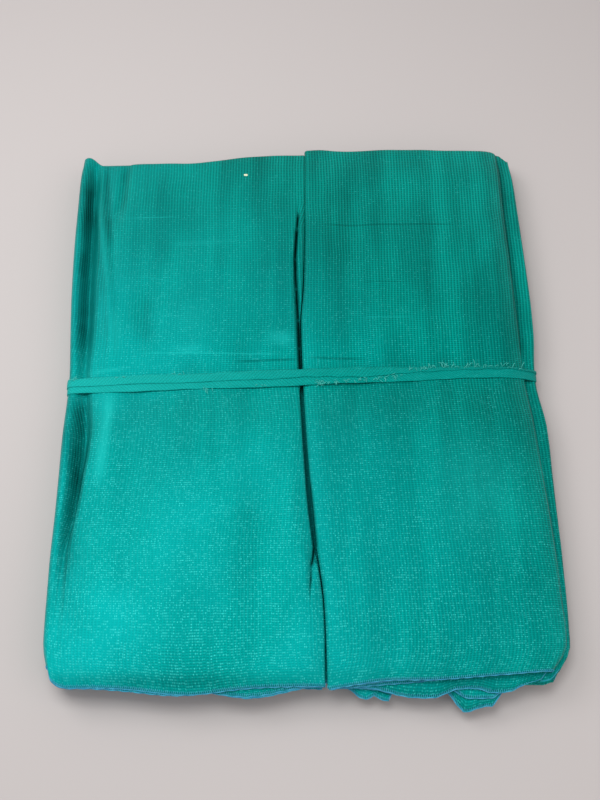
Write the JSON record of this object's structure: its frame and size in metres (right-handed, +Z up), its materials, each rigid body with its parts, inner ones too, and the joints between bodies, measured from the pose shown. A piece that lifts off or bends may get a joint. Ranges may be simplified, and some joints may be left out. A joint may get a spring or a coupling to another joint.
{
  "type": "folded shade netting",
  "caption": "Knitted garden shade netting, doubled, folded back and forth into a flat bundle and tied round the middle with a folded strip of the same net.",
  "frame": {"origin": "under the middle of the bundle, on the surface it rests on", "axes": "+X across the bundle to the side of its layered folds, +Y from the hemmed front to the folded back, +Z up through the layers"},
  "size_m": [0.4716, 0.5777, 0.042],
  "materials": {
    "net": "knitted polyethylene net, teal green, slightly glossy",
    "tie_strip": "the same net, folded and creased"
  },
  "bodies": {
    "root": {"net": "net", "tie_strip": "tie_strip"}
  },
  "joints": []
}
